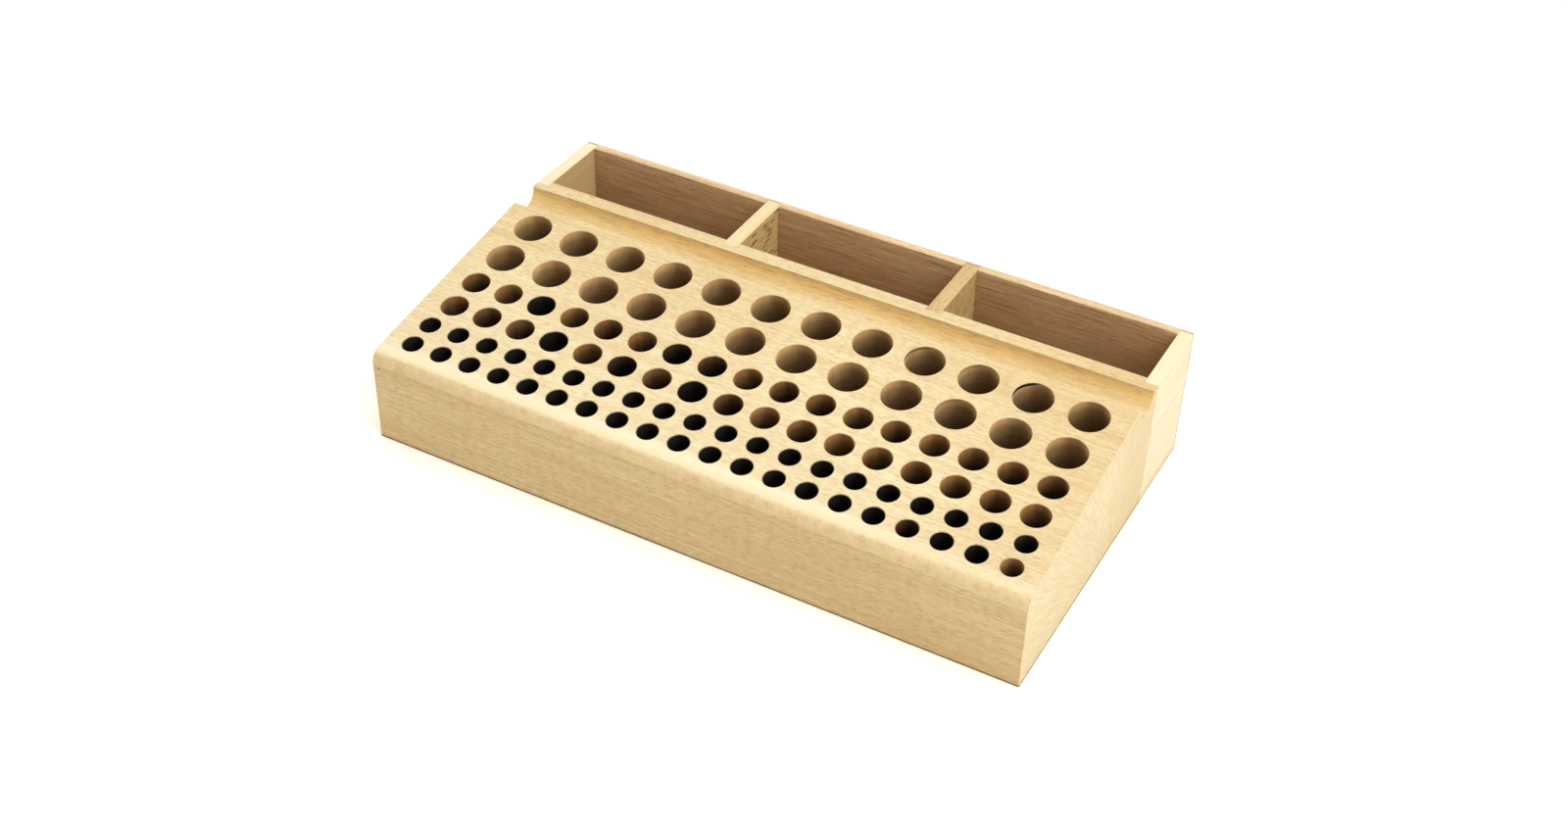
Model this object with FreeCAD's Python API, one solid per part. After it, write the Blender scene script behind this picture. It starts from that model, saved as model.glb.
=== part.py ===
import FreeCAD, Part
import math
import os

V = FreeCAD.Vector

# Driving dimensions, mm. Origin: centre of the underside; +X right, +Y back, +Z up.
# Everything below measures Y from the front face; the finished pieces move to the origin at the end.
length = 249.0
depth = 140.0
height = 51.0
front_height = 36.8
block_depth = 106.2

end_thickness = 4.9
divider_thickness = 5.6
back_thickness = 4.9
back_lip = 2.0
floor_thickness = 2.8
joint_depth = 2.4

groove_radius = 6.0
groove_depth = 6.6
ledge_thickness = 5.7

# Rows of holes from the front: diameter and pitch.
hole_rows = [(7.5, 12.0), (7.5, 12.0), (10.0, 14.0), (10.0, 14.0), (14.0, 20.0), (14.0, 20.0)]
hole_depth = 30.0
front_land = 6.45
rear_land = 2.5
end_land = 6.5
land_base = 12.0

front_round = 5.0
corner_round = 1.9
ease = 0.9
fine_ease = 0.4
overcut = 2.0
tolerance = 1e-4

half = length / 2
groove_y = block_depth - ledge_thickness - groove_radius
groove_z = height - groove_depth + groove_radius
groove_front = groove_y - groove_radius
groove_rear = groove_y + groove_radius
slope = math.atan2(groove_z - front_height, groove_front)
slope_run = math.hypot(groove_front, groove_z - front_height)
uphill = V(0, math.cos(slope), math.sin(slope))
outward = V(0, -math.sin(slope), math.cos(slope))

housing_front = block_depth - joint_depth
back_inner = depth - back_thickness
housing_back = depth - back_lip
tray_width = (length - 2 * end_thickness - 2 * divider_thickness) / 3
divider_x = tray_width / 2 + divider_thickness / 2


def box(x0, x1, y0, y1, z0, z1):
    left, right = sorted((x0, x1))
    return Part.makeBox(right - left, y1 - y0, z1 - z0, V(left, y0, z0))


def near(a, b):
    return abs(a - b) < tolerance


def edges_where(shape, test):
    """Edges whose two ends and middle all pass the test."""
    found = []
    for edge in shape.Edges:
        first, last = edge.ParameterRange
        points = [edge.valueAt(first + (last - first) * t) for t in (0.0, 0.5, 1.0)]
        if all(test(p) for p in points):
            found.append(edge)
    return found


def row_places():
    """Distance of every row's centre line up the slope from the front top edge."""
    diameters = [diameter for diameter, pitch in hole_rows]
    spare = slope_run - front_land - rear_land - sum(diameters)
    weights = [land_base + (a + b) / 2 for a, b in zip(diameters, diameters[1:])]
    places = [front_land + diameters[0] / 2]
    for a, b, weight in zip(diameters, diameters[1:], weights):
        places.append(places[-1] + (a + b) / 2 + spare * weight / sum(weights))
    return places


def hole_centres():
    """Diameter and mouth centre of every hole."""
    centres = []
    for (diameter, pitch), place in zip(hole_rows, row_places()):
        count = int((length - 2 * end_land - diameter) / pitch) + 1
        mouth = V(0, 0, front_height) + uphill * place
        for i in range(count):
            centres.append((diameter, V((i - (count - 1) / 2) * pitch, mouth.y, mouth.z)))
    return centres


def block_profile():
    """Side outline of the block in the plane x = -half, with the groove and the round front edge."""
    tangent = front_round * math.tan((math.pi / 2 - slope) / 2)
    bisector = V(0, -math.cos(math.pi / 4 - slope / 2), math.sin(math.pi / 4 - slope / 2))
    front_bottom = V(-half, 0, 0)
    round_start = V(-half, 0, front_height - tangent)
    round_middle = V(-half, front_round, front_height - tangent) + bisector * front_round
    round_end = V(-half, 0, front_height) + uphill * tangent
    groove_start = V(-half, groove_front, groove_z)
    groove_bottom = V(-half, groove_y, groove_z - groove_radius)
    groove_end = V(-half, groove_rear, groove_z)
    ledge_front = V(-half, groove_rear, height)
    ledge_rear = V(-half, block_depth, height)
    rear_bottom = V(-half, block_depth, 0)
    outline = [
        Part.makeLine(front_bottom, round_start),
        Part.Arc(round_start, round_middle, round_end).toShape(),
        Part.makeLine(round_end, groove_start),
        Part.Arc(groove_start, groove_bottom, groove_end).toShape(),
        Part.makeLine(groove_end, ledge_front),
        Part.makeLine(ledge_front, ledge_rear),
        Part.makeLine(ledge_rear, rear_bottom),
        Part.makeLine(rear_bottom, front_bottom),
    ]
    return Part.Face(Part.Wire(outline))


def housings(y0, y1):
    """Room for the end caps, the dividers and the tray floor between two distances from the front."""
    room = [box(-half - overcut, half + overcut, y0, y1, -overcut, floor_thickness)]
    for side in (-1, 1):
        inner = side * (half - end_thickness)
        outer = side * (half + overcut)
        room.append(box(inner, outer, y0, y1, -overcut, height + overcut))
        left = side * divider_x - divider_thickness / 2
        room.append(box(left, left + divider_thickness, y0, y1, floor_thickness, height + overcut))
    return room


def whole_block():
    """The wooden block before drilling, with its eased edges and the housings for the trays."""
    block = block_profile().extrude(V(length, 0, 0))
    ends = edges_where(block, lambda p: near(abs(p.x), half) and p.y < groove_front + tolerance)
    block = block.makeFillet(ease, ends)
    block = block.makeFillet(fine_ease, edges_where(block, lambda p: near(p.y, 0) and near(p.z, 0)))
    return block.cut(housings(housing_front, block_depth + overcut))


def under_holes():
    """Everything below the plane that the floors of the holes lie in, parallel to the slope."""
    middle = V(0, 0, front_height) + uphill * (slope_run / 2) - outward * hole_depth
    reach = length + depth + height
    ground = Part.makeBox(2 * reach, 2 * reach, reach, V(-reach, -reach, -reach))
    ground.rotate(V(0, 0, 0), V(1, 0, 0), math.degrees(slope))
    ground.translate(middle)
    return ground


def block_top():
    """The drilled part of the block, from the floors of the holes up."""
    drills = []
    for diameter, mouth in hole_centres():
        foot = mouth - outward * (hole_depth + overcut)
        drills.append(Part.makeCylinder(diameter / 2, hole_depth + 2 * overcut, foot, outward))
    return whole_block().cut([under_holes()]).cut(drills)


def block_base():
    """The solid rest of the same block, whose upper face closes the holes."""
    return whole_block().common(under_holes())


def end_cap(side):
    outer = side * half
    cap = box(outer - side * end_thickness, outer, housing_front, housing_back, floor_thickness, height)
    return cap.makeFillet(ease, edges_where(cap, lambda p: near(p.x, outer) and near(p.z, height)))


def divider(side):
    left = side * divider_x - divider_thickness / 2
    return box(left, left + divider_thickness, housing_front, housing_back, floor_thickness, height)


def back_panel():
    panel = box(-half, half, back_inner, depth, 0, height)
    corners = edges_where(panel, lambda p: near(abs(p.x), half) and near(p.y, depth))
    panel = panel.makeFillet(corner_round, corners)
    rim = edges_where(panel, lambda p: near(p.z, height) and p.y > housing_back - tolerance)
    panel = panel.makeFillet(ease, rim)
    return panel.cut(housings(back_inner - overcut, housing_back))


def tray_floor():
    return box(-half, half, housing_front, housing_back, 0, floor_thickness)


pieces = {
    "block_top": block_top(),
    "block_base": block_base(),
    "end_cap_left": end_cap(-1),
    "end_cap_right": end_cap(1),
    "divider_left": divider(-1),
    "divider_right": divider(1),
    "back_panel": back_panel(),
    "tray_floor": tray_floor(),
}

os.makedirs("parts", exist_ok=True)
for name, shape in pieces.items():
    assert shape.isValid() and len(shape.Solids) == 1, name
    solid = shape.Solids[0]
    solid.translate(V(0, -depth / 2, 0))
    solid.exportStep("parts/" + name + ".step")
    bounds = solid.BoundBox
    low = [round(v, 2) for v in (bounds.XMin, bounds.YMin, bounds.ZMin)]
    high = [round(v, 2) for v in (bounds.XMax, bounds.YMax, bounds.ZMax)]
    print(name, low, high, "volume", round(solid.Volume))
print("slope", round(math.degrees(slope), 3), "rows", [round(p, 2) for p in row_places()])
print("holes", len(hole_centres()))
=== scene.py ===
import bpy
import bmesh
import math
import random
from mathutils import Matrix, Vector


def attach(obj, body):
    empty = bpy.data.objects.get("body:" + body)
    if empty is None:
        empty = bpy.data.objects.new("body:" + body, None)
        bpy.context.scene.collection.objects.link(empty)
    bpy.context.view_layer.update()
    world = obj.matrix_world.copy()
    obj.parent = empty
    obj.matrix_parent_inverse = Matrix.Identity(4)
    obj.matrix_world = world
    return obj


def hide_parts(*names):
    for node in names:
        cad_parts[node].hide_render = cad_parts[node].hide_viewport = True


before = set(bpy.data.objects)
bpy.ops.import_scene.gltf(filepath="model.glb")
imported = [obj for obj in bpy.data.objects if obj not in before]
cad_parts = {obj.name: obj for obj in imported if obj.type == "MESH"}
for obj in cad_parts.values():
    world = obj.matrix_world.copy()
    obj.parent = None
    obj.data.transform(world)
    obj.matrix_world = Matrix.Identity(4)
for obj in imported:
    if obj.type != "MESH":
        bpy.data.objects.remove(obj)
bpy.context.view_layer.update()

mm = 0.001
toMm = (1 / mm, 1 / mm, 1 / mm)
scene = bpy.context.scene
dice = random.Random(7)

# the whole stand in mm: x and y from its middle, z up from the bench
stand = {
    "length": 249.0, "front": -70.0, "blockRear": 36.2, "back": 70.0, "height": 51.0,
    "trayFloor": 2.8, "capThickness": 4.9, "dividerThickness": 5.6, "dividerX": 40.8,
    "intoBlock": 33.8, "intoPanel": 68.0,  # where the housings of block and back panel end
}
half = stand["length"] / 2
# colours of painted shade along the bench, in corners and under hole rims, and of one real knot
stains = {
    "footShade": (0.06, 0.035, 0.02), "knot": (0.06, 0.035, 0.02),
    "cornerShade": (0.20, 0.115, 0.055), "underRimShadow": (0.02, 0.011, 0.006),
}

# how meshes are cut and eased, in mm and degrees
meshing = {
    "near": 0.01, "weld": 0.002, "sharp": 40, "smooth": 38, "steps": 2,
    "past": 2.0, "overlap": 0.5,  # how far cutters reach past a face, and into each other
}


def startMesh():
    bm = bmesh.new()
    bm.faces.layers.float.new("edge")
    return bm


def near(a, b):
    return abs(a - b) < meshing["near"]


def edgesWhere(bm, test):
    return [e for e in bm.edges if all(test(v.co) for v in e.verts)]


def sharpEdges(bm, test=lambda p: True):
    def sharp(e):
        return len(e.link_faces) == 2 and math.degrees(e.calc_face_angle(0)) > meshing["sharp"]
    return [e for e in edgesWhere(bm, test) if sharp(e)]


# rounds edges and marks the new faces, so that the wood can look handled there
def easeEdges(bm, edges, width, steps=meshing["steps"], worn=1.0):
    edge = bm.faces.layers.float["edge"]
    made = bmesh.ops.bevel(bm, geom=edges, offset=width, offset_type="OFFSET", segments=steps, profile=0.5,
                           affect="EDGES", material=-1, clamp_overlap=True)["faces"]
    for face in made:
        face[edge] = worn


def boxInto(bm, x0, x1, y0, y1, z0, z1):
    place = Matrix.Translation(((x0 + x1) / 2, (y0 + y1) / 2, (z0 + z1) / 2))
    size = Matrix.Diagonal((abs(x1 - x0), y1 - y0, z1 - z0, 1))
    bmesh.ops.create_cube(bm, size=1, matrix=place @ size)


def carve(bm, cutter):
    mesh, tool = bpy.data.meshes.new("carved"), bpy.data.meshes.new("tool")
    bm.to_mesh(mesh)
    cutter.to_mesh(tool)
    bm.free()
    cutter.free()
    body, knife = bpy.data.objects.new("carved", mesh), bpy.data.objects.new("tool", tool)
    scene.collection.objects.link(body)
    scene.collection.objects.link(knife)
    cut = body.modifiers.new("cut", "BOOLEAN")
    cut.operation, cut.solver, cut.use_self, cut.object = "DIFFERENCE", "EXACT", True, knife
    bpy.context.view_layer.update()
    result = bpy.data.meshes.new_from_object(body.evaluated_get(bpy.context.evaluated_depsgraph_get()))
    carved = bmesh.new()
    carved.from_mesh(result)
    for thing in (body, knife):
        bpy.data.objects.remove(thing)
    for data in (mesh, tool, result):
        bpy.data.meshes.remove(data)
    return carved


# room for caps, dividers and tray floor between two depths
def housings(y0, y1):
    s, past = stand, meshing["past"]
    low, high = s["trayFloor"] - meshing["overlap"], s["height"] + past
    bm = bmesh.new()
    boxInto(bm, -half - past, half + past, y0, y1, -past, s["trayFloor"])
    for side in (-1, 1):
        x = side * s["dividerX"]
        boxInto(bm, side * (half - s["capThickness"]), side * (half + past), y0, y1, low, high)
        boxInto(bm, x - s["dividerThickness"] / 2, x + s["dividerThickness"] / 2, y0, y1, low, high)
    return bm


def makeBoard(x0, x1, y0, y1, z0, z1, ease):
    bm = startMesh()
    boxInto(bm, x0, x1, y0, y1, z0, z1)
    easeEdges(bm, sharpEdges(bm), ease)
    return bm


# from mm to metres, smooth over eased edges, and onto the stand
def finishPiece(bm, name, slot, material, *nodes):
    bmesh.ops.remove_doubles(bm, verts=bm.verts, dist=meshing["weld"])
    bmesh.ops.scale(bm, vec=(mm, mm, mm), verts=bm.verts)
    bmesh.ops.recalc_face_normals(bm, faces=bm.faces)
    for face in bm.faces:
        face.smooth = True
    mesh = bpy.data.meshes.new(name)
    bm.to_mesh(mesh)
    bm.free()
    mesh.set_sharp_from_angle(angle=math.radians(meshing["smooth"]))
    mesh.materials.append(material)
    piece = bpy.data.objects.new(name, mesh)
    scene.collection.objects.link(piece)
    piece.modifiers.new("flat faces lead", "WEIGHTED_NORMAL").keep_sharp = True
    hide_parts(*nodes)
    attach(piece, "root")
    print(name, len(mesh.polygons), "faces")


# shader tools
def feed(tree, socket, value):
    if isinstance(value, bpy.types.NodeSocket):
        tree.links.new(value, socket)
    else:
        socket.default_value = (*value, 1) if socket.type == "RGBA" and len(value) == 3 else value


def addNode(tree, kind, values=None, **settings):
    node = tree.nodes.new("ShaderNode" + kind)
    for name, value in settings.items():
        setattr(node, name, value)
    for socket, value in (values or {}).items():
        feed(tree, node.inputs[socket], value)
    return node


def calc(tree, operation, a, b=0.0):
    return addNode(tree, "Math", {0: a, 1: b}, operation=operation).outputs[0]


def total(tree, first, *others):
    for other in others:
        first = calc(tree, "ADD", first, other)
    return first


def product(tree, first, *others):
    for other in others:
        first = calc(tree, "MULTIPLY", first, other)
    return first


def less(tree, a, b):
    return calc(tree, "SUBTRACT", a, b)


def vector(tree, operation, a, b=(0, 0, 0)):
    node = addNode(tree, "VectorMath", {0: a, 1: b}, operation=operation)
    return node.outputs["Value" if operation in ("LENGTH", "DOT_PRODUCT") else "Vector"]


def split(tree, place):
    return addNode(tree, "SeparateXYZ", {0: place}).outputs


def join(tree, x, y, z=0.0):
    return addNode(tree, "CombineXYZ", {0: x, 1: y, 2: z}).outputs[0]


def inMm(tree, coords):
    return vector(tree, "MULTIPLY", coords["Object"], toMm)


# how squarely a face looks along x, y or z (0, 1 or 2), either way
def facing(tree, normal, axis):
    return calc(tree, "ABSOLUTE", split(tree, normal)[axis])


def attribute(tree, name):
    return addNode(tree, "Attribute", attribute_name=name).outputs["Fac"]


def noise(tree, place, stretch, detail=2.0, roughness=0.5):
    values = {"Vector": vector(tree, "MULTIPLY", place, stretch), "Scale": 1.0, "Detail": detail,
              "Roughness": roughness}
    return addNode(tree, "TexNoise", values).outputs["Fac"]


def lineNoise(tree, along, detail, roughness=0.5):
    values = {"W": along, "Scale": 1.0, "Detail": detail, "Roughness": roughness}
    return addNode(tree, "TexNoise", values, noise_dimensions="1D").outputs["Fac"]


# noise round zero, to half of reach either way
def swing(tree, place, reach, stretch, detail=2.0, roughness=0.5):
    return product(tree, less(tree, noise(tree, place, stretch, detail, roughness), 0.5), reach)


# the distance to the nearest of scattered dots, and that dot's own chance from one colour channel
def dots(tree, u, v, channel):
    cells = addNode(tree, "TexVoronoi", {"Vector": join(tree, u, v), "Scale": 1.0}, voronoi_dimensions="2D")
    chance = addNode(tree, "SeparateColor", {0: cells.outputs["Color"]}).outputs[channel]
    return cells.outputs["Distance"], chance


# soft step of value from low to high
def ramp(tree, value, low, high, start=0.0, end=1.0):
    values = {"Value": value, "From Min": low, "From Max": high, "To Min": start, "To Max": end}
    return addNode(tree, "MapRange", values, interpolation_type="SMOOTHSTEP").outputs["Result"]


def mixColor(tree, share, first, second):
    return addNode(tree, "Mix", {0: share, 6: first, 7: second}, data_type="RGBA").outputs[2]


def newGroup(name, inputs, outputs):
    tree = bpy.data.node_groups.new(name, "ShaderNodeTree")
    kinds = {"vector": "NodeSocketVector", "float": "NodeSocketFloat", "color": "NodeSocketColor"}
    for way, sockets in (("INPUT", inputs), ("OUTPUT", outputs)):
        for label, kind in sockets.items():
            tree.interface.new_socket(name=label, in_out=way, socket_type=kinds[kind])
    return tree, tree.nodes.new("NodeGroupInput").outputs, tree.nodes.new("NodeGroupOutput").inputs


# what a board's look says to the beech group
beechLook = {
    "heart": "vector", "pale": "color", "tan": "color", "ring": "color", "fleck": "color",
    "ringWidth": "float", "ringDepth": "float", "fleckDepth": "float", "fibreDepth": "float",
    "mineral": "float",
}
beechGrain = {  # lengths in mm
    "arcAt": 80.0,  # round the heart, places are measured as if at this radius
    "bend": 9.0, "ripple": 1.5, "unevenYears": 1.6, "changesPerYear": 0.45, "clouds": 0.3,
    "flecks": [  # length, width, size within its cell, depth
        (7.5, 0.38, 0.23, 1.0), (4.5, 0.26, 0.26, 0.75),
    ],
    "fleckCore": 0.6, "mineralLength": 10.0, "mineralPerMm": 0.62, "mineralWander": 0.4,
    "endSpokes": 0.7, "endFlecks": 0.6, "roughness": 0.48, "fibreRoughness": 0.14,
}
beechNoise = {  # how often it repeats in a mm along x, y and z, then its detail and roughness
    "bend": ((0.006, 0.02, 0.02), 2.0, 0.5), "ripple": ((0.03, 0.22, 0.22), 2.0, 0.5),
    "clear": ((0.01, 0.1, 0.1), 1.0, 0.5), "clouds": ((0.012, 0.04, 0.04), 2.0, 0.5),
    "broad": ((0.014, 0.9, 0.9), 3.0, 0.6), "fine": ((0.08, 3.4, 3.4), 3.0, 0.65),
    "spokes": ((1.1, 0.07, 0), 2.0, 0.6), "wander": ((0.3, 1.4, 1.4), 3.0, 0.5),
    "rubbed": ((0.35, 0.35, 0.35), 3.0, 0.6),
}
beechRamps = {  # where each share begins and where it is full
    "endGrain": (0.6, 0.95), "lateWood": (0.35, 0.93), "nextYear": (1.0, 0.94), "clear": (0.32, 0.62),
    "lines": (0.38, 0.63), "clouds": (0.3, 0.7), "upright": (0.7, 0.4), "rubbed": (0.28, 0.62),
    "fleckChance": (0.05, 0.40), "mineralSize": (0.27, 0.15), "mineralChance": (0.36, 0.56),
}


# Beech with the grain along x, place in mm: growth rings round the heart line, long fibres, the short dark
# flecks of its rays, and end grain where the normal runs along x.
def makeBeech():
    g, layer, at = beechGrain, beechNoise, beechRamps
    inputs = {"place": "vector", "normal": "vector", **beechLook, "turnedTan": "float"}
    tree, given, out = newGroup("beech", inputs, {"Color": "color", "Roughness": "float", "Height": "float"})
    place = given["place"]
    fromHeart = vector(tree, "MULTIPLY", vector(tree, "SUBTRACT", place, given["heart"]), (0, 1, 1))
    radius = vector(tree, "LENGTH", fromHeart)
    y, z = split(tree, fromHeart)[1:3]
    alongGrain = split(tree, place)[0]
    around = product(tree, calc(tree, "ARCTAN2", y, z), g["arcAt"])
    endGrain = ramp(tree, facing(tree, given["normal"], 0), *at["endGrain"])

    # growth rings, each a slow darkening and a quick return
    bend = swing(tree, place, g["bend"], *layer["bend"])
    ripple = swing(tree, place, g["ripple"], *layer["ripple"])
    year = calc(tree, "DIVIDE", total(tree, radius, bend, ripple), given["ringWidth"])
    spread = lineNoise(tree, product(tree, year, g["changesPerYear"]), detail=1.0)
    part = calc(tree, "FRACT", total(tree, year, product(tree, spread, g["unevenYears"])))
    late = product(tree, ramp(tree, part, *at["lateWood"]), ramp(tree, part, *at["nextYear"]))
    clear = ramp(tree, noise(tree, place, *layer["clear"]), *at["clear"])
    rings = product(tree, late, calc(tree, "MAXIMUM", clear, endGrain), given["ringDepth"])

    # long fibres, and on end grain fine lines out from the heart
    broad = noise(tree, place, *layer["broad"])
    fine = noise(tree, place, *layer["fine"])
    spokes = noise(tree, join(tree, around, radius), *layer["spokes"])
    fibres = total(tree, product(tree, broad, 0.5), product(tree, fine, 0.5))
    ends = product(tree, endGrain, g["endSpokes"])
    lines = ramp(tree, addNode(tree, "Mix", {0: ends, 2: fibres, 3: spokes}).outputs[0], *at["lines"])
    clouds = ramp(tree, noise(tree, place, *layer["clouds"]), *at["clouds"])

    # ray flecks in two sizes
    flecks = 0.0
    for length, width, size, depth in g["flecks"]:
        u, v = calc(tree, "DIVIDE", alongGrain, length), calc(tree, "DIVIDE", around, width)
        distance, chance = dots(tree, u, v, 0)
        there = ramp(tree, chance, *at["fleckChance"])
        fleck = product(tree, ramp(tree, distance, size, size * g["fleckCore"]), there, depth)
        flecks = calc(tree, "MAXIMUM", flecks, fleck)
    fewer = less(tree, 1.0, product(tree, endGrain, g["endFlecks"]))
    flecks = product(tree, flecks, given["fleckDepth"], fewer)

    # now and then a dark mineral streak, on upright faces only
    u, v = product(tree, alongGrain, 1 / g["mineralLength"]), product(tree, z, g["mineralPerMm"])
    distance, chance = dots(tree, u, v, 1)
    wander = swing(tree, place, g["mineralWander"], *layer["wander"])
    streak = ramp(tree, total(tree, distance, wander), *at["mineralSize"])
    upright = ramp(tree, facing(tree, given["normal"], 2), *at["upright"])
    streak = product(tree, streak, ramp(tree, chance, *at["mineralChance"]), given["mineral"], upright)
    marks = calc(tree, "MAXIMUM", flecks, streak)

    tan = total(tree, product(tree, lines, given["fibreDepth"]), product(tree, clouds, g["clouds"]))
    color = mixColor(tree, total(tree, tan, given["turnedTan"]), given["pale"], given["tan"])
    color = mixColor(tree, rings, color, given["ring"])
    feed(tree, out["Color"], mixColor(tree, marks, color, given["fleck"]))
    feed(tree, out["Roughness"], total(tree, product(tree, lines, g["fibreRoughness"]), g["roughness"]))
    feed(tree, out["Height"], less(tree, product(tree, fine, 0.5), marks))
    return tree


# eased edges rub a little paler, unevenly
def makeHandledEdge():
    inputs = {"color": "color", "place": "vector", "edge": "float", "rubbed": "color", "amount": "float"}
    tree, given, out = newGroup("handledEdge", inputs, {"Color": "color"})
    patches = noise(tree, given["place"], *beechNoise["rubbed"])
    patchy = ramp(tree, patches, *beechRamps["rubbed"], start=0.35)
    share = product(tree, given["edge"], patchy, given["amount"])
    feed(tree, out["Color"], mixColor(tree, share, given["color"], given["rubbed"]))
    return tree


beech, handledEdge = makeBeech(), makeHandledEdge()
print("wood groups ready")

surface = {
    "bump": 0.3, "bumpDepth": 0.12 * mm, "specular": 0.35,
    # painted contact shadow: a dark line just above the bench, on faces not turned down
    "footShadeDown": (1.15 * mm, 0.55 * mm), "footShadeShare": 0.8, "footShadeOffFoot": (-0.95, -0.5),  # by the bench
}


# a material of the two groups; addTo says what reaches the shader, with the marks of one board
def woodMaterial(name, look, addTo):
    material = bpy.data.materials.new(name)
    material.use_nodes = True
    tree = material.node_tree
    shader = tree.nodes["Principled BSDF"]
    coords = addNode(tree, "TexCoord").outputs
    turned = (0, 0, math.radians(look["turn"]))
    values = {"Vector": coords["Object"], "Location": look["shift"], "Rotation": turned, "Scale": toMm}
    place = addNode(tree, "Mapping", values).outputs[0]
    values = {"Vector": coords["Normal"], "Rotation": turned}
    normal = addNode(tree, "Mapping", values, vector_type="NORMAL").outputs[0]
    given = {"place": place, "normal": normal, **{label: look[label] for label in beechLook}}
    wood = addNode(tree, "Group", given, node_tree=beech)
    color, roughness, height = addTo(tree, coords, wood)
    given = {"color": color, "place": place, "edge": attribute(tree, "edge"), "rubbed": look["rubbed"],
             "amount": look["rub"]}
    rubbed = addNode(tree, "Group", given, node_tree=handledEdge)
    bump = addNode(tree, "Bump", {"Height": height, "Strength": surface["bump"],
                                  "Distance": surface["bumpDepth"]})
    # painted contact shadow along the bench
    above, upward = split(tree, coords["Object"])[2], split(tree, coords["Normal"])[2]
    low = ramp(tree, above, *surface["footShadeDown"], end=surface["footShadeShare"])
    footShade = product(tree, low, ramp(tree, upward, *surface["footShadeOffFoot"]))
    feed(tree, shader.inputs["Base Color"], mixColor(tree, footShade, rubbed.outputs[0], stains["footShade"]))
    feed(tree, shader.inputs["Roughness"], roughness)
    feed(tree, shader.inputs["Normal"], bump.outputs[0])
    shader.inputs["Specular IOR Level"].default_value = surface["specular"]
    return material


# the drilled block in mm; its rows run from the front, holes from the left
block = {
    "frontHeight": 36.8, "grooveRadius": 6.0, "grooveY": 24.5, "grooveZ": 50.4, "grooveSteps": 28,
    "ledgeFront": 30.5, "frontRound": 5.0, "roundSteps": 10, "endEase": 0.9, "endSteps": 4, "footEase": 0.4,
    "edgeEase": 0.25, "rimEase": 0.3, "holeDepth": 30.0, "drillPast": 4.0,
    "sides": {7.5: 36, 10.0: 44, 14.0: 56},
    "rows": [  # diameter, pitch, count, how far up the slope
        (7.5, 12.0, 20, 10.2), (7.5, 12.0, 20, 20.76), (10.0, 14.0, 17, 32.76),
        (10.0, 14.0, 17, 46.2), (14.0, 20.0, 12, 61.96), (14.0, 20.0, 12, 80.04),
    ],
    "rimFlat": 0.02, "rimsFromEnds": 2.0, "rimsFromGroove": 0.5,  # tells hole rims from other edges
    "grooveAbove": 40.0,  # the groove's edges are higher than this
    "floorSlack": 0.1,  # how far below its depth a face still counts as the hole's
    "burn": [1.0, 1.0, 0.56, 0.56, 0.22, 0.22],  # by row: 0 is clean and 1 is charred by the drill
    "burnVaries": 0.05, "charred": 0.9,  # rows below charred vary from hole to hole
    "burnOf": {  # holes that differ from their row, as row from 0 and hole from 1
        (0, 20): 0.5, (0, 17): 0.86, (0, 1): 1.0, (1, 20): 0.93,
        (2, 1): 0.62, (2, 2): 0.74, (2, 3): 0.66, (2, 4): 1.0, (2, 5): 0.62, (2, 6): 0.92, (2, 7): 0.66,
        (2, 8): 1.0, (2, 9): 0.72,
        (3, 1): 0.68, (3, 3): 0.99, (3, 5): 0.66, (3, 7): 0.93, (3, 8): 0.78, (3, 10): 0.66,
    },
    "lips": {(5, 9): 0.6, (5, 10): 0.35, (5, 11): 1.0, (4, 10): 0.3},  # painted shadows of steps under the far rim
}
grooveFront = block["grooveY"] - block["grooveRadius"]
slope = math.atan2(block["grooveZ"] - block["frontHeight"], grooveFront - stand["front"])
uphill = Vector((0, math.cos(slope), math.sin(slope)))
outward = Vector((0, -math.sin(slope), math.cos(slope)))
slopeStart = Vector((0, stand["front"], block["frontHeight"]))


def holeX(i, pitch, count):
    return (i - (count - 1) / 2) * pitch


def holePlaces():
    for row, (diameter, pitch, count, up) in enumerate(block["rows"]):
        for i in range(count):
            mouth = slopeStart + uphill * up
            mouth.x = holeX(i, pitch, count)
            yield row, i, diameter, mouth


def onlyVerts(geometry):
    return [part for part in geometry if isinstance(part, bmesh.types.BMVert)]


# the side outline, with the groove as a half turn, drawn out to the full length
def blockBody():
    b = block
    front, rear, height = stand["front"], stand["blockRear"], stand["height"]
    bm = startMesh()
    corners = ((front, 0), (front, b["frontHeight"]), (grooveFront, b["grooveZ"]))
    verts = [bm.verts.new((-half, y, z)) for y, z in corners]
    for first, second in zip(verts, verts[1:]):
        bm.edges.new((first, second))
    spun = bmesh.ops.spin(bm, geom=[verts[-1]], cent=(-half, b["grooveY"], b["grooveZ"]), axis=(1, 0, 0),
                          angle=math.pi, steps=b["grooveSteps"])
    verts.append(onlyVerts(spun["geom_last"])[0])
    for y, z in ((b["ledgeFront"], height), (rear, height), (rear, 0)):
        verts.append(bm.verts.new((-half, y, z)))
        bm.edges.new((verts[-2], verts[-1]))
    bm.edges.new((verts[-1], verts[0]))
    side = bmesh.ops.contextual_create(bm, geom=bm.edges[:])["faces"]
    grown = bmesh.ops.extrude_face_region(bm, geom=side)["geom"]
    bmesh.ops.translate(bm, vec=(stand["length"], 0, 0), verts=onlyVerts(grown))
    bmesh.ops.recalc_face_normals(bm, faces=bm.faces)
    return bm


def drills():
    b = block
    bm = bmesh.new()
    turn = Matrix.Rotation(slope, 4, "X")
    reach = b["holeDepth"] + b["drillPast"]
    for row, i, diameter, mouth in holePlaces():
        middle = mouth - outward * (b["holeDepth"] - reach / 2)
        bmesh.ops.create_cone(bm, cap_ends=True, cap_tris=False, segments=b["sides"][diameter],
                              radius1=diameter / 2, radius2=diameter / 2, depth=reach,
                              matrix=Matrix.Translation(middle) @ turn)
    return bm
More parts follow.
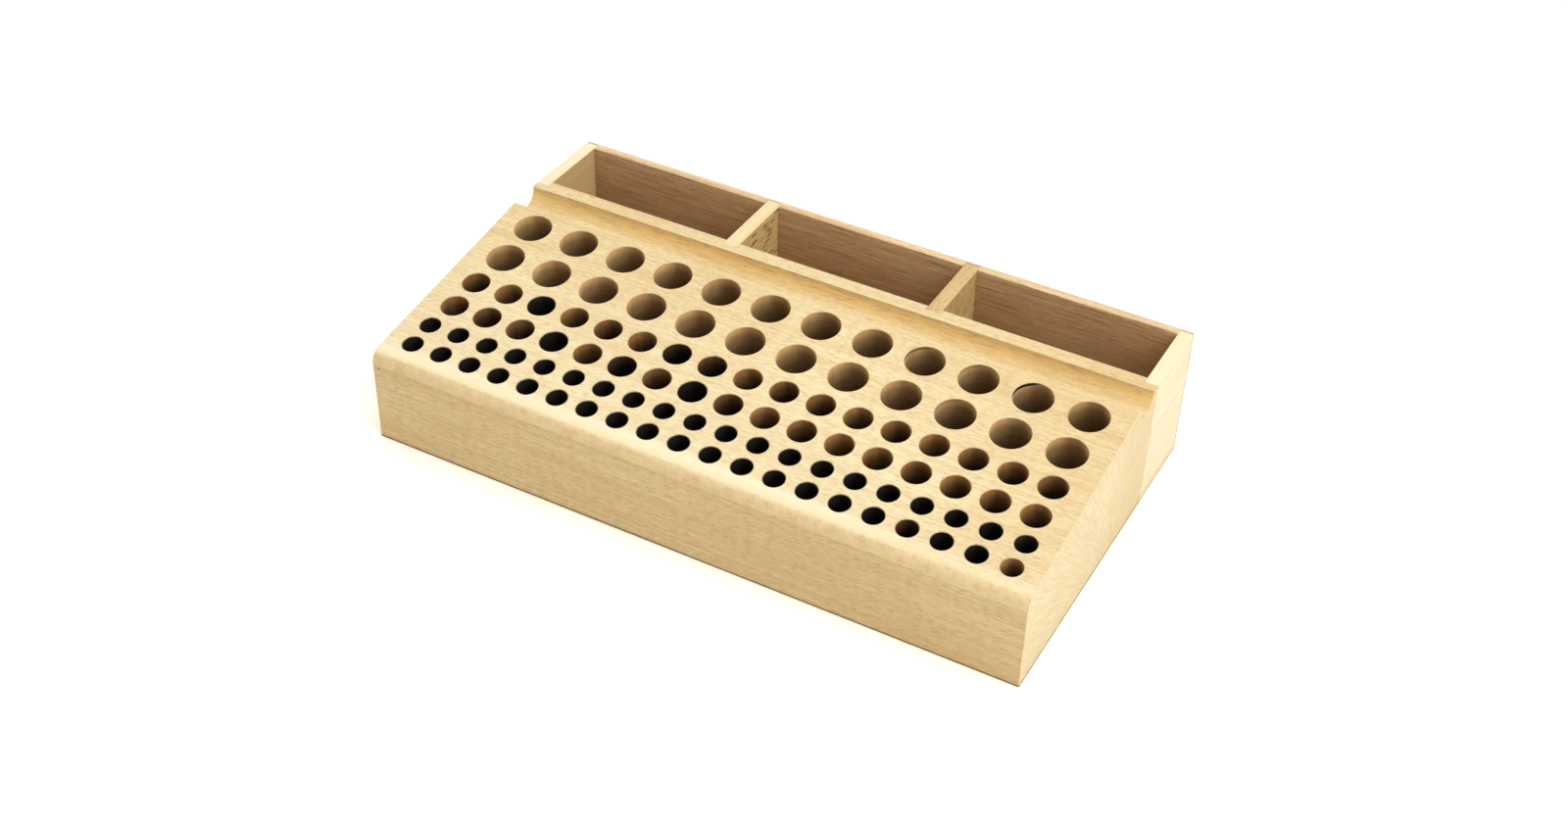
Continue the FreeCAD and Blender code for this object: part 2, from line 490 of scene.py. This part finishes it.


# tells each face of a hole how charred the hole is, and how dark the painted shadow of the step under its rim
def markHoles(bm):
    b = block
    burn, lip = bm.faces.layers.float.new("burn"), bm.faces.layers.float.new("lip")
    burns = {}
    for row, i, diameter, mouth in holePlaces():
        varies = dice.uniform(-b["burnVaries"], b["burnVaries"]) * (b["burn"][row] < b["charred"])
        burns[row, i] = b["burnOf"].get((row, i + 1), b["burn"][row] + varies)
    for face in bm.faces:
        middle = face.calc_center_median() - slopeStart
        deep, up = -middle.dot(outward), middle.dot(uphill)
        if not meshing["near"] < deep < b["holeDepth"] + b["floorSlack"]:
            continue
        for row, (diameter, pitch, count, rowUp) in enumerate(b["rows"]):
            i = round(middle.x / pitch + (count - 1) / 2)
            away = math.hypot(middle.x - holeX(i, pitch, count), up - rowUp)
            if 0 <= i < count and away < diameter / 2 + b["rimEase"]:
                face[burn], face[lip] = burns[row, i], b["lips"].get((row, i + 1), 0)


def makeBlock():
    b, close = block, meshing["near"]
    bm = blockBody()

    def frontEdge(z):
        return edgesWhere(bm, lambda p: near(p.y, stand["front"]) and near(p.z, z))

    def onEnd(p):
        return near(abs(p.x), half) and p.y < grooveFront + close

    def onSlope(p):
        flat = abs((p - slopeStart).dot(outward)) < b["rimFlat"]
        return flat and abs(p.x) < half - b["rimsFromEnds"] and p.y < grooveFront - b["rimsFromGroove"]

    def byGroove(p):
        return grooveFront - close < p.y < b["ledgeFront"] + close and p.z > b["grooveAbove"]

    tangent = b["frontRound"] * math.tan((math.pi / 2 - slope) / 2)
    easeEdges(bm, frontEdge(b["frontHeight"]), tangent, b["roundSteps"], worn=0.0)
    easeEdges(bm, edgesWhere(bm, onEnd), b["endEase"], b["endSteps"])
    easeEdges(bm, frontEdge(0), b["footEase"])
    bm = carve(bm, housings(stand["intoBlock"], stand["blockRear"] + meshing["past"]))
    bm = carve(bm, drills())
    easeEdges(bm, sharpEdges(bm, onSlope), b["rimEase"])
    easeEdges(bm, sharpEdges(bm, byGroove), b["edgeEase"])
    markHoles(bm)
    return bm


blockWood = {
    "pale": (0.615, 0.540, 0.332), "tan": (0.495, 0.370, 0.182), "ring": (0.48, 0.325, 0.140),
    "fleck": (0.33, 0.195, 0.075), "rubbed": (0.66, 0.55, 0.34), "rub": 0.55,
    "ringWidth": 5.2, "ringDepth": 0.32, "fleckDepth": 0.66, "fibreDepth": 0.66, "mineral": 0.0,
    "heart": (0, 32, -34), "turn": 0.0, "shift": (0, 0, 0),
    # painted shade tones: the groove's rear wall and the band on the front rounding
    "groove": (0.67, 0.455, 0.170), "scored": (0.33, 0.195, 0.075), "roundingShade": (0.41, 0.275, 0.145),
    "landHighlight": (0.68, 0.66, 0.52), "endPale": (0.60, 0.535, 0.36),
    "frontShadeTan": 0.34, "rightTan": 0.34, "endTan": -0.2, "endShare": 0.4, "grooveLipShadeShare": 0.32,
    "grooveWavy": 4.0,
    "walls": [  # burn and colour
        (0.0, (0.50, 0.36, 0.18)), (0.22, (0.415, 0.250, 0.106)), (0.55, (0.285, 0.150, 0.053)),
        (0.8, (0.085, 0.040, 0.017)), (1.0, (0.017, 0.014, 0.013)),
    ],
    "deepBurnAndShade": 0.30, "deepShade": 0.5, "paintedSideLight": 0.65, "turnsPerMm": 1.7, "turnsHeight": 1.5,
    "lipToLeft": (0.86, -0.50, 0.05), "lipDepth": 1.6, "charGloss": 0.24,
    "knot": (-121.9, -70, 31.0), "knotShare": 0.8,
}
blockNoise = {  # how often it repeats in a mm along x, y and z, then its detail and roughness
    "wavyGroove": ((0.04, 0.5, 0.5), 3.0, 0.5), "grooveGrain": ((0.15, 2.4, 2.4), 3.0, 0.75),
    "scored": ((0.11, 2.1, 2.1), 4.0, 0.7), "roundingShade": ((0.03, 0.2, 0.2), 2.0, 0.5),
    "burnPatches": ((0.2, 0.2, 0.2), 3.0, 0.6), "burnStreaks": ((0.9, 0.9, 0.06), 2.0, 0.5),
}
blockRamps = {  # in mm: where a mark begins and where it is full
    "tanToRight": (55.0, 122.0), "tanToBack": (-10.0, 25.0), "knot": (0.62, 0.3),
    "grooveWall": (25.5, 30.5), "scoredWall": (25.0, 29.5), "underLedge": (50.9, 50.2),
    "grooveLipShadeBack": (10.0, 20.0), "grooveLipShadeEnd": (24.0, 22.0),
    "roundingShadeUp": (30.5, 34.5), "roundingShadeDown": (36.5, 35.2),
    "landUp": (36.0, 36.9), "landFront": (-60.0, -64.5), "landSlope": (8.0, -45.0),
    "landRight": (20.0, 110.0),
    "burnAndShadeDown": (-1.0, -15.0), "shadeDown": (-0.3, -5.0), "sideLightUp": (-10.0, -4.0), "lipUp": (0.0, 0.25),
}
blockShares = {  # the same for what has no length: how a face is turned, how charred it is, and noise
    "frontShade": (-0.1, -0.75), "endward": (0.7, 0.95), "upward": (0.5, 0.9), "offEnds": (0.7, 0.4),
    "acrossGrain": (0.25, 0.8), "lipStart": (0.35, 0.45), "lipDeeper": (0.35, 0.95),
    "grooveGrain": (0.4, 0.6), "scored": (0.52, 0.62), "roundingShade": (0.2, 0.6), "turns": (0.25, 0.75),
    "burnHides": (0.25, 0.6), "glossier": (0.6, 1.0),
}


# the block is tanner at its front, a painted shade tone, and at its right, and its ends are paler, and tan
# again to the back
def tintSides(tree, place, normal, wood):
    look, at, share = blockWood, blockRamps, blockShares
    x, y = split(tree, place)[:2]
    acrossGrain = facing(tree, normal, 0)
    # painted shade: faces turned to the front get a tanner tone
    frontShade = ramp(tree, split(tree, normal)[1], *share["frontShade"], end=look["frontShadeTan"])
    endward = ramp(tree, acrossGrain, *share["endward"], end=look["endTan"])
    upward = ramp(tree, split(tree, normal)[2], *share["upward"])
    rightward = product(tree, ramp(tree, x, *at["tanToRight"], end=look["rightTan"]), upward)
    feed(tree, wood.inputs["turnedTan"], total(tree, frontShade, endward, rightward))
    onEnd = ramp(tree, acrossGrain, *share["endward"], end=look["endShare"])
    color = mixColor(tree, onEnd, wood.outputs["Color"], look["endPale"])
    toBack = product(tree, onEnd, ramp(tree, y, *at["tanToBack"]))
    return mixColor(tree, toBack, color, look["tan"])


# painted warm shade on the groove's rear wall, darkest just under the ledge and fading forward onto the
# slope, and painted shade on its front lip
def markGroove(tree, place, offEnds, color):
    look, layer, at, share = blockWood, blockNoise, blockRamps, blockShares
    y, z = split(tree, place)[1:3]
    rearward = total(tree, y, swing(tree, place, look["grooveWavy"], *layer["wavyGroove"]))
    under = ramp(tree, z, *at["underLedge"])
    grain = ramp(tree, noise(tree, place, *layer["grooveGrain"]), *share["grooveGrain"], start=0.4)
    # painted warm shade on the rear wall, darkest under the ledge
    wall = product(tree, ramp(tree, rearward, *at["grooveWall"]), under, grain, offEnds)
    color = mixColor(tree, wall, color, look["groove"])
    scored = ramp(tree, noise(tree, place, *layer["scored"]), *share["scored"], end=0.5)
    worked = product(tree, ramp(tree, rearward, *at["scoredWall"]), under, scored, offEnds)
    color = mixColor(tree, worked, color, look["scored"])
    # painted shade on the groove's front lip
    grooveLipShade = product(tree, ramp(tree, rearward, *at["grooveLipShadeBack"], end=look["grooveLipShadeShare"]),
                    ramp(tree, y, *at["grooveLipShadeEnd"]), offEnds)
    return mixColor(tree, grooveLipShade, color, look["tan"])


# painted shade in a tan band where the top rounds over, a painted highlight in a whiter strip above it, and
# one pin knot
def markFront(tree, place, offEnds, color):
    look, at, share = blockWood, blockRamps, blockShares
    x, y, z = split(tree, place)
    # painted shade in a patchy band on the rounding
    band = product(tree, ramp(tree, z, *at["roundingShadeUp"]), ramp(tree, z, *at["roundingShadeDown"]), offEnds)
    patches = noise(tree, place, *blockNoise["roundingShade"])
    patchy = ramp(tree, patches, *share["roundingShade"], start=0.3, end=0.5)
    color = mixColor(tree, product(tree, band, patchy), color, look["roundingShade"])
    # painted highlight: a whiter strip along the top of the rounding, strongest at the left
    strip = product(tree, ramp(tree, y, *at["landFront"], start=0.35), ramp(tree, y, *at["landSlope"]))
    landHighlight = product(tree, ramp(tree, z, *at["landUp"]), strip, offEnds,
                   ramp(tree, x, *at["landRight"], start=0.62, end=0.3))
    color = mixColor(tree, landHighlight, color, look["landHighlight"])
    fromKnot = vector(tree, "LENGTH", vector(tree, "SUBTRACT", place, look["knot"]))
    return mixColor(tree, ramp(tree, fromKnot, *at["knot"], end=look["knotShare"]), color, stains["knot"])


# hole walls from clean to charred, darker with depth from burn and painted shade, with the fine turns of the
# drill
def markWalls(tree, place, normal, color, roughness, height):
    look, layer, at, share = blockWood, blockNoise, blockRamps, blockShares
    burn, lip = attribute(tree, "burn"), attribute(tree, "lip")
    above = vector(tree, "DOT_PRODUCT", vector(tree, "SUBTRACT", place, tuple(slopeStart)), tuple(outward))
    turns = lineNoise(tree, product(tree, above, look["turnsPerMm"]), detail=3.0, roughness=0.7)

    patches = swing(tree, place, 0.6, *layer["burnPatches"])
    streaks = swing(tree, place, 0.35, *layer["burnStreaks"])
    uneven = product(tree, total(tree, patches, streaks), less(tree, 1.12, burn))
    # burn and painted shade, both deepening down the hole
    deeperBurnAndShade = ramp(tree, above, *at["burnAndShadeDown"], end=look["deepBurnAndShade"])
    heat = addNode(tree, "ValToRGB", {"Fac": total(tree, burn, uneven, deeperBurnAndShade)})
    stops = look["walls"]
    for element, (position, shade) in zip(heat.color_ramp.elements, (stops[0], stops[-1])):
        element.position, element.color = position, (*shade, 1)
    for position, shade in stops[1:-1]:
        heat.color_ramp.elements.new(position).color = (*shade, 1)
    hidden = ramp(tree, burn, *share["burnHides"], start=0.86)
    drilled = mixColor(tree, hidden, color, heat.outputs["Color"])

    # painted shade deepens with depth, and walls turned along x near the mouth get painted light, as if lit
    # from the side
    acrossGrain = ramp(tree, facing(tree, normal, 0), *share["acrossGrain"])
    sideLight = product(tree, acrossGrain, ramp(tree, above, *at["sideLightUp"]), look["paintedSideLight"])
    shade = product(tree, ramp(tree, above, *at["shadeDown"], start=0.96, end=look["deepShade"]),
                    total(tree, sideLight, 1.0))
    light = product(tree, ramp(tree, turns, *share["turns"], start=0.86, end=1.1), shade)
    drilled = vector(tree, "MULTIPLY", drilled, join(tree, light, light, light))

    # painted shadow of a thin step under some rims, deepest at the left
    toLeft = vector(tree, "DOT_PRODUCT", normal, look["lipToLeft"])
    step = total(tree, above, ramp(tree, toLeft, *share["lipDeeper"], end=look["lipDepth"]))
    underRimShadow = product(tree, ramp(tree, step, *at["lipUp"]), ramp(tree, toLeft, *share["lipStart"]), lip)
    drilled = mixColor(tree, underRimShadow, drilled, stains["underRimShadow"])

    inside = calc(tree, "GREATER_THAN", burn, 0.01)
    height = total(tree, height, product(tree, turns, inside, look["turnsHeight"]))
    glossier = ramp(tree, burn, *share["glossier"], end=look["charGloss"])
    return mixColor(tree, inside, color, drilled), less(tree, roughness, glossier), height


def blockMarks(tree, coords, wood):
    place, normal = inMm(tree, coords), coords["Normal"]
    offEnds = ramp(tree, facing(tree, normal, 0), *blockShares["offEnds"])
    color = tintSides(tree, place, normal, wood)
    color = markGroove(tree, place, offEnds, color)
    color = markFront(tree, place, offEnds, color)
    return markWalls(tree, place, normal, color, wood.outputs["Roughness"], wood.outputs["Height"])


finishPiece(makeBlock(), "drilledBlock", "block", woodMaterial("blockBeech", blockWood, blockMarks),
            "block_top", "block_base")

# the back panel, housed out for caps, dividers and floor
panel = {
    "inner": 65.1, "cornerRound": 1.9, "cornerSteps": 5, "cornerWorn": 0.4, "rimRound": 0.9, "rimSteps": 4,
}
panelWood = {
    "pale": (0.600, 0.455, 0.285), "tan": (0.49, 0.345, 0.185), "ring": (0.36, 0.215, 0.10),
    "fleck": (0.17, 0.085, 0.038), "rubbed": (0.60, 0.48, 0.32), "rub": 0.3,
    "ringWidth": 3.6, "ringDepth": 0.4, "fleckDepth": 0.35, "fibreDepth": 0.5, "mineral": 0.0,
    "heart": (0, 150, -40), "turn": 0.0, "shift": (140, 9, 60),
    # darker tones for heartwood and for painted shade on the inner face
    "heartwoodAndShade": (0.46, 0.265, 0.128), "darkWoodAndShade": (0.22, 0.105, 0.047),
    "heartwoodAndShadeShare": 0.72, "shadeFallShare": 0.42, "poreShare": 0.7, "endShare": 0.85, "wavy": 16.0,
}
panelNoise = {  # how often it repeats in a mm along x, y and z, then its detail and roughness
    "wavy": ((0.012, 0.02, 0.06), 3.0, 0.5), "streaks": ((0.02, 0.75, 0.75), 4.0, 0.68),
    "pores": ((0.05, 2.2, 2.2), 4.0, 0.75),
}
panelRamps = {  # in mm, and for noise without a unit: where a mark begins and where it is full
    "inward": (66.6, 65.6), "heartDown": (51.0, 48.5), "shadeFallDown": (50.0, 27.0), "darkDown": (29.0, 20.0),
    "outToEnd": (half - 1.4, half - 0.4), "endDown": (51.0, 49.6),
    "heartStreaks": (0.36, 0.6), "darkStreaks": (0.2, 0.65), "pores": (0.50, 0.62),
}


def makeBackPanel():
    s, p = stand, panel
    bm = startMesh()
    boxInto(bm, -half, half, p["inner"], s["back"], 0, s["height"])
    corners = edgesWhere(bm, lambda v: near(abs(v.x), half) and near(v.y, s["back"]))
    easeEdges(bm, corners, p["cornerRound"], p["cornerSteps"], p["cornerWorn"])
    rim = edgesWhere(bm, lambda v: near(v.z, s["height"]) and v.y > s["intoPanel"] - meshing["near"])
    easeEdges(bm, rim, p["rimRound"], p["rimSteps"])
    return carve(bm, housings(p["inner"] - meshing["past"], s["intoPanel"]))


# darker heartwood on the inner face, partly painted shade, with painted shade deepening downward, darkest low
# down under a wavy border, and brown ends
def heartwoodAndShadeMarks(tree, coords, wood):
    look, layer, at = panelWood, panelNoise, panelRamps
    place = inMm(tree, coords)
    x, y, z = split(tree, place)
    inward = ramp(tree, y, *at["inward"])
    lifted = total(tree, z, swing(tree, place, look["wavy"], *layer["wavy"]))
    streaks, fine = noise(tree, place, *layer["streaks"]), noise(tree, place, *layer["pores"])
    color = wood.outputs["Color"]
    # heartwood streaks on the inner face, partly painted shade of the tray
    heart = product(tree, ramp(tree, streaks, *at["heartStreaks"], start=0.45),
                    ramp(tree, z, *at["heartDown"]), inward)
    color = mixColor(tree, heart, color, mixColor(tree, look["heartwoodAndShadeShare"], color, look["heartwoodAndShade"]))
    # painted shade: the inner face darkens downward into the tray
    fallingShade = product(tree, ramp(tree, lifted, *at["shadeFallDown"], end=look["shadeFallShare"]), inward)
    low = product(tree, ramp(tree, lifted, *at["darkDown"]),
                  ramp(tree, streaks, *at["darkStreaks"], start=0.4, end=0.95), inward)
    pores = product(tree, ramp(tree, fine, *at["pores"], end=look["poreShare"]), inward)
    ends = product(tree, ramp(tree, calc(tree, "ABSOLUTE", x), *at["outToEnd"], end=look["endShare"]),
                   ramp(tree, z, *at["endDown"], start=0.3))
    for share in (fallingShade, low, pores, ends):
        color = mixColor(tree, share, color, look["darkWoodAndShade"])
    return color, wood.outputs["Roughness"], wood.outputs["Height"]


finishPiece(makeBackPanel(), "backPanel", "back_panel", woodMaterial("panelBeech", panelWood, heartwoodAndShadeMarks),
            "back_panel")

# faces turned to a tray get a browner tone of painted shade than the top, and painted shade darkens the
# boards along the corners where they meet panel and floor
trayLook = {"innerShadeShare": 0.88, "innerShadeTan": 0.72, "panelCornerShade": 0.6, "floorCornerShade": 0.4}
trayRamps = {  # in mm: where a mark begins and where it is full; sideways has no unit
    "inFromEnd": (half - 0.5, half - 1.5), "toPanel": (stand["intoPanel"] - 0.7, stand["intoPanel"] - 0.2),
    "toFloor": (stand["trayFloor"] + 0.5, stand["trayFloor"]), "sideways": (0.6, 0.9),
}


def innerFaces(look):
    def marks(tree, coords, wood):
        t, at = trayLook, trayRamps
        x, y, z = split(tree, inMm(tree, coords))
        # painted shade: faces turned sideways into a tray take the browner inner tone
        inside = ramp(tree, calc(tree, "ABSOLUTE", x), *at["inFromEnd"], end=t["innerShadeShare"])
        share = product(tree, ramp(tree, facing(tree, coords["Normal"], 0), *at["sideways"]), inside)
        innerShadeTan = [t["innerShadeTan"] * value for value in look["inner"]]
        feed(tree, wood.inputs["pale"], mixColor(tree, share, look["pale"], look["inner"]))
        feed(tree, wood.inputs["tan"], mixColor(tree, share, look["tan"], innerShadeTan))
        # painted shade in the corners where a board meets the panel and the floor
        cornerShade = calc(tree, "MAXIMUM", ramp(tree, y, *at["toPanel"], end=t["panelCornerShade"]),
                     ramp(tree, z, *at["toFloor"], end=t["floorCornerShade"]))
        color = mixColor(tree, cornerShade, wood.outputs["Color"], stains["cornerShade"])
        return color, wood.outputs["Roughness"], wood.outputs["Height"]
    return marks


# end caps, of the palest board, with the grain from front to back
caps = {"edgeEase": 0.3}
# inner is the tone of painted shade on faces turned to a tray
capWood = {
    "pale": (0.665, 0.615, 0.455), "tan": (0.60, 0.52, 0.335), "ring": (0.52, 0.40, 0.21),
    "fleck": (0.36, 0.26, 0.13), "rubbed": (0.68, 0.60, 0.42), "rub": 0.4, "inner": (0.57, 0.415, 0.19),
    "ringWidth": 4.2, "ringDepth": 0.25, "fleckDepth": 0.16, "fibreDepth": 0.40, "mineral": 0.0,
    "heart": (0, 60, -70), "turn": 90.0, "shift": (31, 12, 5),
}
capMaterial = woodMaterial("capBeech", capWood, innerFaces(capWood))
for side, word in ((-1, "left"), (1, "right")):
    x0, x1 = sorted((side * (half - stand["capThickness"]), side * half))
    board = makeBoard(x0, x1, stand["intoBlock"], stand["intoPanel"], stand["trayFloor"], stand["height"],
                      caps["edgeEase"])
    finishPiece(board, word + "Cap", "end_caps", capMaterial, "end_cap_" + word)

# dividers; the left one has mineral streaks and a creamy top, the right one is tan and rougher
dividers = {"edgeEase": 0.3}
# in each look, inner is the tone of painted shade on faces turned to a tray
leftWood = {
    "pale": (0.620, 0.535, 0.340), "tan": (0.53, 0.415, 0.215), "ring": (0.42, 0.29, 0.12),
    "fleck": (0.12, 0.062, 0.022), "rubbed": (0.66, 0.58, 0.39), "rub": 0.5, "inner": (0.64, 0.46, 0.195),
    "ringWidth": 3.4, "ringDepth": 0.35, "fleckDepth": 0.14, "fibreDepth": 0.42, "mineral": 1.0,
    "heart": (0, -70, -60), "turn": 90.0, "shift": (77, 3, 41),
}
rightWood = {
    "pale": (0.525, 0.395, 0.205), "tan": (0.42, 0.285, 0.125), "ring": (0.38, 0.235, 0.095),
    "fleck": (0.17, 0.090, 0.035), "rubbed": (0.55, 0.42, 0.23), "rub": 0.3, "inner": (0.64, 0.46, 0.205),
    "ringWidth": 2.8, "ringDepth": 0.5, "fleckDepth": 0.35, "fibreDepth": 0.7, "mineral": 0.2,
    "heart": (0, 50, -80), "turn": 90.0, "shift": (17, 33, 90),
}
for side, word, look in ((-1, "left", leftWood), (1, "right", rightWood)):
    x = side * stand["dividerX"]
    x0, x1 = x - stand["dividerThickness"] / 2, x + stand["dividerThickness"] / 2
    board = makeBoard(x0, x1, stand["intoBlock"], stand["intoPanel"], stand["trayFloor"], stand["height"],
                      dividers["edgeEase"])
    material = woodMaterial(word + "DividerBeech", look, innerFaces(look))
    finishPiece(board, word + "Divider", "dividers", material, "divider_" + word)

# the thin board under the trays
trayFloor = {"edgeEase": 0.25}
floorWood = {
    "pale": (0.520, 0.385, 0.220), "tan": (0.42, 0.28, 0.140), "ring": (0.34, 0.205, 0.092),
    "fleck": (0.17, 0.095, 0.045), "rubbed": (0.54, 0.42, 0.26), "rub": 0.3,
    "ringWidth": 3.8, "ringDepth": 0.45, "fleckDepth": 0.65, "fibreDepth": 0.5, "mineral": 0.0,
    "heart": (0, 40, -60), "turn": 0.0, "shift": (200, 9, 80), "endward": (0.5, 0.9), "endShare": 0.85,
}


def paleEnds(tree, coords, wood):
    acrossGrain = facing(tree, coords["Normal"], 0)
    onEnd = ramp(tree, acrossGrain, *floorWood["endward"], end=floorWood["endShare"])
    color = mixColor(tree, onEnd, wood.outputs["Color"], capWood["pale"])
    return color, wood.outputs["Roughness"], wood.outputs["Height"]


board = makeBoard(-half, half, stand["intoBlock"], stand["intoPanel"], 0, stand["trayFloor"],
                  trayFloor["edgeEase"])
finishPiece(board, "trayFloor", "tray_floor", woodMaterial("floorBeech", floorWood, paleEnds), "tray_floor")

# the bench, in metres
bench = {"size": 6, "color": (0.97, 0.945, 0.905), "roughness": 0.9}
bm = bmesh.new()
bmesh.ops.create_grid(bm, x_segments=1, y_segments=1, size=bench["size"])
benchMesh = bpy.data.meshes.new("paleBench")
bm.to_mesh(benchMesh)
bm.free()
paleBench = bpy.data.objects.new("paleBench", benchMesh)
scene.collection.objects.link(paleBench)
benchMaterial = bpy.data.materials.new("paleBench")
benchMaterial.use_nodes = True
benchShader = benchMaterial.node_tree.nodes["Principled BSDF"]
benchShader.inputs["Base Color"].default_value = (*bench["color"], 1)
benchShader.inputs["Roughness"].default_value = bench["roughness"]
benchMesh.materials.append(benchMaterial)

# a warm pale room with two soft boxes
room = {"color": (1, 0.88, 0.74), "strength": 0.70}
softBoxes = {  # place and size in metres, watts and colour
    "rightBox": {"place": (0.97, -0.35, 1.04), "size": 1.0, "watts": 12.3, "tint": (1, 0.995, 0.98)},
    "topBox": {"place": (-0.05, 0.16, 1.38), "size": 1.5, "watts": 15.0, "tint": (0.97, 1, 1)},
}
world = bpy.data.worlds.new("softRoom")
scene.world = world
world.use_nodes = True
background = world.node_tree.nodes["Background"]
background.inputs["Color"].default_value = (*room["color"], 1)
background.inputs["Strength"].default_value = room["strength"]
for name, box in softBoxes.items():
    data = bpy.data.lights.new(name, "AREA")
    data.shape, data.size, data.energy, data.color = "DISK", box["size"], box["watts"], box["tint"]
    lamp = bpy.data.objects.new(name, data)
    lamp.location = box["place"]
    lamp.rotation_euler = (-Vector(box["place"])).to_track_quat("-Z", "Y").to_euler()
    scene.collection.objects.link(lamp)

# the camera at the photo's angle: lengths in mm, angles in degrees
view = {
    "lens": 47.965, "sensor": 36, "target": (5.184, -7.330, 19.92), "distance": 731.903,
    "azimuth": 27.84, "elevation": 38.171, "roll": 1.668,
}
azimuth, elevation, roll = (math.radians(view[name]) for name in ("azimuth", "elevation", "roll"))
backward = Vector((math.sin(azimuth) * math.cos(elevation), -math.cos(azimuth) * math.cos(elevation),
                   math.sin(elevation)))
level = (-backward).cross(Vector((0, 0, 1))).normalized()
plumb = (-backward).cross(level)
camRight = level * math.cos(roll) - plumb * math.sin(roll)
camDown = level * math.sin(roll) + plumb * math.cos(roll)
cameraData = bpy.data.cameras.new("camera")
cameraData.lens, cameraData.sensor_width = view["lens"], view["sensor"]
camera = bpy.data.objects.new("camera", cameraData)
turn = Matrix((camRight, -camDown, backward)).transposed()
eye = (Vector(view["target"]) + backward * view["distance"]) * mm
camera.matrix_world = Matrix.Translation(eye) @ turn.to_4x4()
scene.collection.objects.link(camera)
scene.camera = camera
scene.view_settings.view_transform = "Standard"
print("light and camera set")
